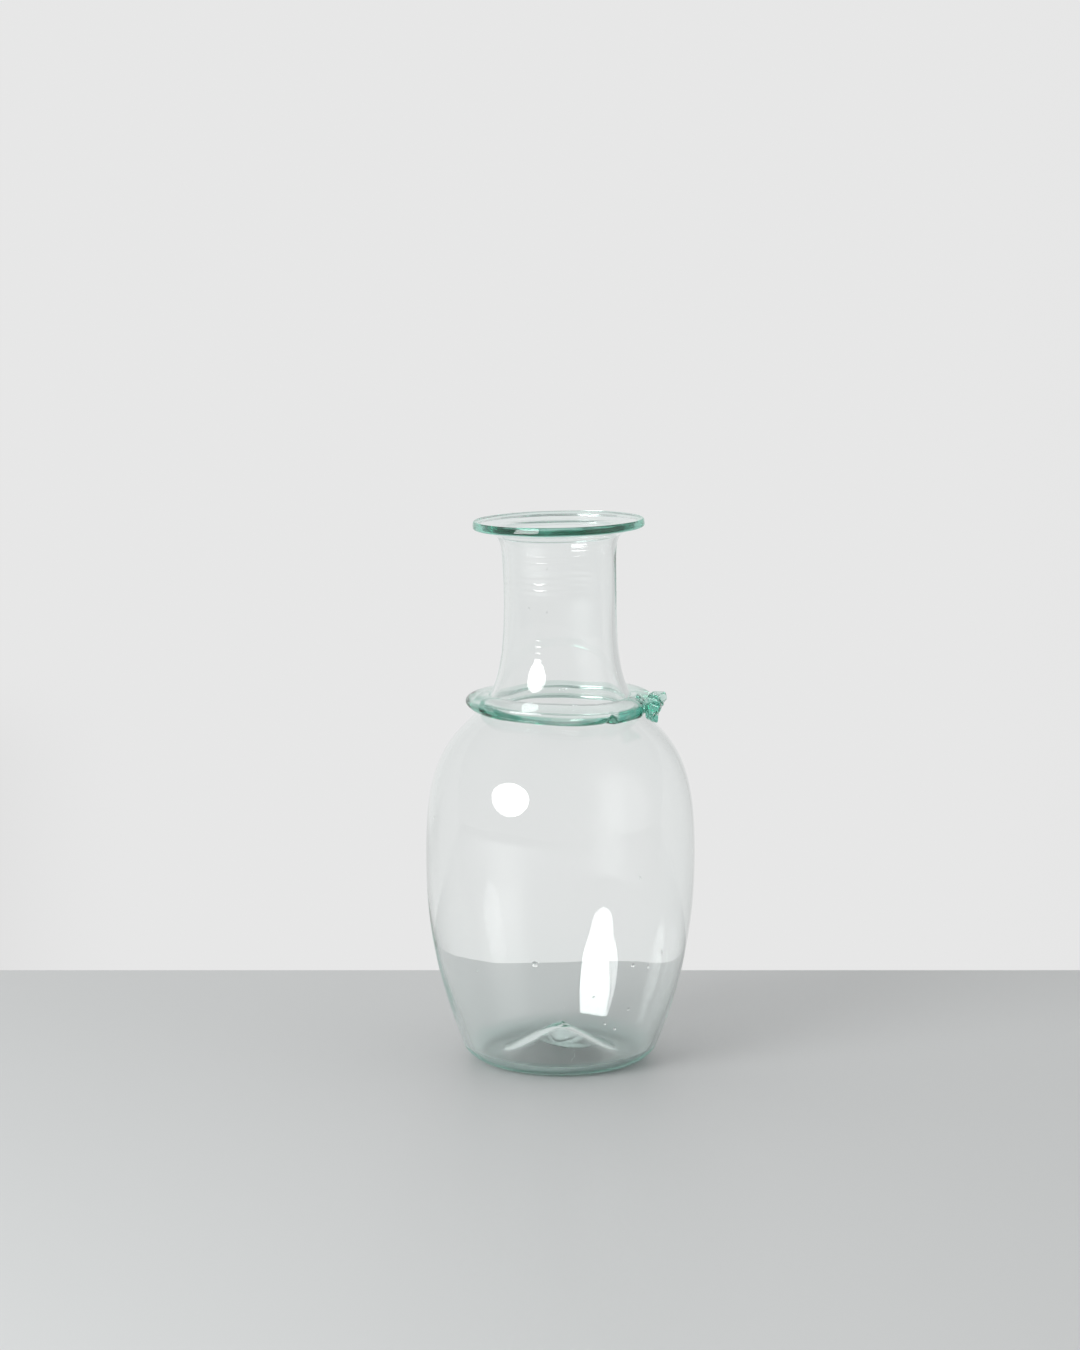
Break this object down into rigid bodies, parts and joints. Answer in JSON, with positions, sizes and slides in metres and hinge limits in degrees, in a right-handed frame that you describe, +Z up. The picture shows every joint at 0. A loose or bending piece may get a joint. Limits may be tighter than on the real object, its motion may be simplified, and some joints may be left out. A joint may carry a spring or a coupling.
{
  "type": "decanter",
  "caption": "Open decanter of pale aqua blown glass: ovoid body on a kicked base, drawn neck with a flared lip, and a trailed collar ending in a pinched knot. Holds and pours liquid.",
  "frame": {"origin": "centre of the resting ring under the base, on the table", "axes": "+Z up along the vessel's axis; the picture looks along +Y, with +X to its right and the knot of the collar on the +X side"},
  "size_m": [0.1104, 0.1104, 0.2238],
  "materials": {
    "pale_glass": "clear, fire-polished, faint aqua tint with small seeds",
    "aqua_glass": "clear, fire-polished, stronger aqua where the glass is thick"
  },
  "bodies": {
    "root": {"vessel": "pale_glass", "lip_wrap": "aqua_glass", "collar_trail": "aqua_glass", "trail_knot": "aqua_glass", "pontil_wad": "pale_glass"}
  },
  "joints": []
}
